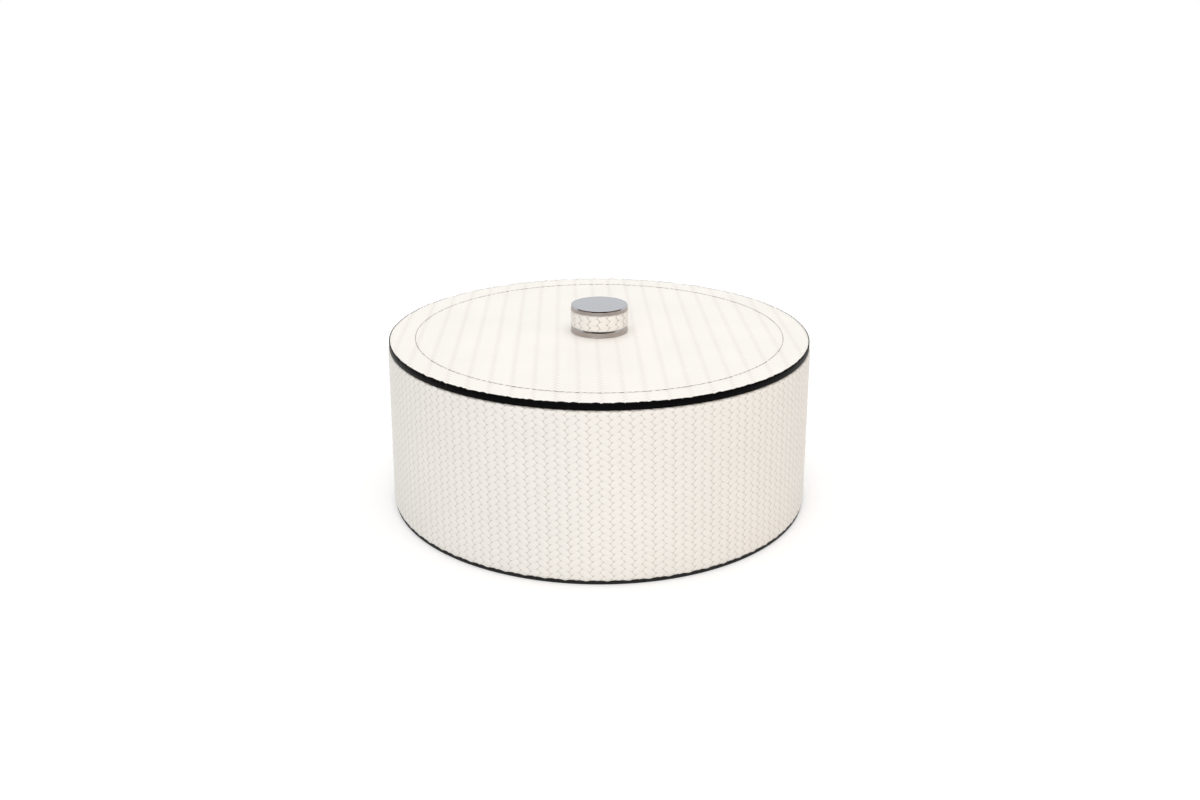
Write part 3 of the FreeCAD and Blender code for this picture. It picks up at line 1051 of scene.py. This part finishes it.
def make_curtain(kind, spread, radius, high, colour):
    """Wool felt curtain that stands round the stage: matt, dull and seen only mirrored in metal and gloss."""
    low = 0.01
    name = kind + "_curtain"
    bm = bmesh.new()
    bmesh.ops.create_grid(bm, x_segments=32, y_segments=1, size=0.5)
    for vert in bm.verts:
        angle = FRONT + vert.co.x * spread
        level = low + (vert.co.y + 0.5) * (high - low)
        vert.co = (radius * math.cos(angle), radius * math.sin(angle), level)
    mesh = bpy.data.meshes.new(name)
    bm.to_mesh(mesh)
    bm.free()
    material, tree, shader, place = new_material("Wool felt, " + kind)
    set_shader(shader, Base_Color=linear(colour), Roughness=1.0, Specular_IOR_Level=0.0)
    mesh.materials.append(material)
    curtain = bpy.data.objects.new(name, mesh)
    curtain.visible_camera = False
    curtain.visible_diffuse = False
    curtain.visible_shadow = False
    bpy.context.scene.collection.objects.link(curtain)


def make_background():
    """White surroundings to the camera, metal and gloss, and a plain soft fill to the rest."""
    fill = 0.45
    world = bpy.data.worlds.new("White studio")
    bpy.context.scene.world = world
    world.use_nodes = True
    tree = world.node_tree
    tree.nodes.clear()
    seen = seen_directly(tree)
    strength = map_range(tree, seen, {"To Min": fill, "To Max": 1.0})
    background = add_node(
        tree,
        "ShaderNodeBackground",
        {"Color": (1.0, 1.0, 1.0, 1.0)},
        {"Strength": strength},
    )
    add_node(tree, "ShaderNodeOutputWorld", links={"Surface": background.outputs["Background"]})


def make_camera():
    """Camera a little above the lid; its lens is shifted, as the near-upright walls of the view need."""
    downwards = math.radians(14.45)
    distance = 577.1 * MM
    aim = Vector((0.3 * MM, 0.0, 110.5 * MM))
    lens = 34.535
    shift = -0.1
    roll = math.radians(0.13)
    data = bpy.data.cameras.new("Camera")
    data.sensor_width = 36.0
    data.lens = lens
    data.shift_y = shift
    camera = bpy.data.objects.new("Camera", data)
    away = Vector((0.0, -math.cos(downwards), math.sin(downwards)))
    turn = (-away).to_track_quat("-Z", "Y").to_matrix() @ Matrix.Rotation(roll, 3, "Z")
    camera.matrix_world = Matrix.Translation(aim + away * distance) @ turn.to_4x4()
    bpy.context.scene.collection.objects.link(camera)
    bpy.context.scene.camera = camera


def set_stage(colours):
    """Floor, white surroundings, lamps and camera."""
    make_floor(colours)
    make_background()
    middle = (0.0, 0.0, 50 * MM)
    add_lamp("Overhead softbox", (0.0, 0.1, 1.6), middle, size=1.8, watts=17.2, tint="#FFFFFF")
    add_lamp("Front softbox", (-0.25, -1.7, 0.55), middle, size=1.4, watts=11.2, tint="#FFFEFC")
    add_lamp("Side softbox", (1.5, -0.7, 0.5), middle, size=1.0, watts=2.6, tint="#FFE0BC")
    make_curtain("grey", spread=math.radians(330), radius=1.45, high=0.42, colour="#9A8E83")
    make_curtain("black", spread=math.radians(60), radius=1.4, high=0.2, colour="#0C0C0C")
    make_camera()
    bpy.context.scene.view_settings.view_transform = "Standard"


# Operators, one for each piece or group of like pieces


class LEATHERBOX_OT_side_leather(bpy.types.Operator):
    """Lay the plaited leather round the wall"""

    bl_idname = "leatherbox.side_leather"
    bl_label = "Side Leather"

    def execute(self, context):
        make_side_leather(context.scene.leather_box_sizes, context.scene.leather_box_colours)
        return {"FINISHED"}


class LEATHERBOX_OT_base(bpy.types.Operator):
    """Put the black suede sheet under the box"""

    bl_idname = "leatherbox.base"
    bl_label = "Base"

    def execute(self, context):
        make_base(context.scene.leather_box_colours)
        return {"FINISHED"}


class LEATHERBOX_OT_linings(bpy.types.Operator):
    """Line the wall and the floor with suede"""

    bl_idname = "leatherbox.linings"
    bl_label = "Linings"

    def execute(self, context):
        make_linings(context.scene.leather_box_colours)
        return {"FINISHED"}


class LEATHERBOX_OT_lid(bpy.types.Operator):
    """Cover the lid with plaited leather above and smooth leather below"""

    bl_idname = "leatherbox.lid"
    bl_label = "Lid Leather"

    def execute(self, context):
        make_lid_leather(context.scene.leather_box_sizes, context.scene.leather_box_colours)
        make_lid_underside(context.scene.leather_box_colours)
        return {"FINISHED"}


class LEATHERBOX_OT_lid_edge(bpy.types.Operator):
    """Paint the edge of the lid black"""

    bl_idname = "leatherbox.lid_edge"
    bl_label = "Lid Edge"

    def execute(self, context):
        make_lid_edge(context.scene.leather_box_colours)
        return {"FINISHED"}


class LEATHERBOX_OT_stitching(bpy.types.Operator):
    """Sew the ring of stitches round the lid"""

    bl_idname = "leatherbox.stitching"
    bl_label = "Stitching"

    def execute(self, context):
        make_stitching(context.scene.leather_box_sizes, context.scene.leather_box_colours)
        return {"FINISHED"}


class LEATHERBOX_OT_plug(bpy.types.Operator):
    """Cover the plug under the lid with suede"""

    bl_idname = "leatherbox.plug"
    bl_label = "Plug"

    def execute(self, context):
        make_plug(context.scene.leather_box_colours)
        return {"FINISHED"}


class LEATHERBOX_OT_knob_metal(bpy.types.Operator):
    """Turn the metal ring and cap of the knob"""

    bl_idname = "leatherbox.knob_metal"
    bl_label = "Knob Metal"

    def execute(self, context):
        make_knob_metal(context.scene.leather_box_sizes, context.scene.leather_box_colours)
        return {"FINISHED"}


class LEATHERBOX_OT_knob_leather(bpy.types.Operator):
    """Wrap the plaited leather band round the knob"""

    bl_idname = "leatherbox.knob_leather"
    bl_label = "Knob Leather"

    def execute(self, context):
        make_knob_leather(context.scene.leather_box_sizes, context.scene.leather_box_colours)
        return {"FINISHED"}


class LEATHERBOX_OT_carcass(bpy.types.Operator):
    """Finish the boards, cards and fasteners inside the box"""

    bl_idname = "leatherbox.carcass"
    bl_label = "Boards and Fasteners"

    def execute(self, context):
        finish_carcass(context.scene.leather_box_colours)
        return {"FINISHED"}


class LEATHERBOX_OT_stage(bpy.types.Operator):
    """Set up the floor, lamps and camera"""

    bl_idname = "leatherbox.stage"
    bl_label = "Stage"

    def execute(self, context):
        set_stage(context.scene.leather_box_colours)
        return {"FINISHED"}


OPERATORS = (
    LEATHERBOX_OT_side_leather,
    LEATHERBOX_OT_base,
    LEATHERBOX_OT_linings,
    LEATHERBOX_OT_lid,
    LEATHERBOX_OT_lid_edge,
    LEATHERBOX_OT_stitching,
    LEATHERBOX_OT_plug,
    LEATHERBOX_OT_knob_metal,
    LEATHERBOX_OT_knob_leather,
    LEATHERBOX_OT_carcass,
    LEATHERBOX_OT_stage,
)


class LEATHERBOX_PT_panel(bpy.types.Panel):
    """Sidebar panel that lists the pieces, sizes and colours"""

    bl_label = "Round Leather Box"
    bl_space_type = "VIEW_3D"
    bl_region_type = "UI"
    bl_category = "Leather Box"

    def draw(self, context):
        column = self.layout.column()
        for operator in OPERATORS:
            column.operator(operator.bl_idname)
        for group in (context.scene.leather_box_sizes, context.scene.leather_box_colours):
            column.separator()
            for name in group.__annotations__:
                column.prop(group, name)


CLASSES = (LeatherBoxSizes, LeatherBoxColours, *OPERATORS, LEATHERBOX_PT_panel)


def register():
    """Registers the classes and hangs the two groups of settings on the scene."""
    for cls in CLASSES:
        bpy.utils.register_class(cls)
    bpy.types.Scene.leather_box_sizes = bpy.props.PointerProperty(type=LeatherBoxSizes)
    bpy.types.Scene.leather_box_colours = bpy.props.PointerProperty(type=LeatherBoxColours)


def unregister():
    """Takes the settings and the classes away again."""
    del bpy.types.Scene.leather_box_colours
    del bpy.types.Scene.leather_box_sizes
    for cls in reversed(CLASSES):
        bpy.utils.unregister_class(cls)


def main():
    """Builds every piece in order."""
    register()
    bpy.ops.leatherbox.side_leather()
    bpy.ops.leatherbox.base()
    bpy.ops.leatherbox.linings()
    bpy.ops.leatherbox.lid()
    bpy.ops.leatherbox.lid_edge()
    bpy.ops.leatherbox.stitching()
    bpy.ops.leatherbox.plug()
    bpy.ops.leatherbox.knob_metal()
    bpy.ops.leatherbox.knob_leather()
    bpy.ops.leatherbox.carcass()
    bpy.ops.leatherbox.stage()


if __name__ == "__main__":
    main()
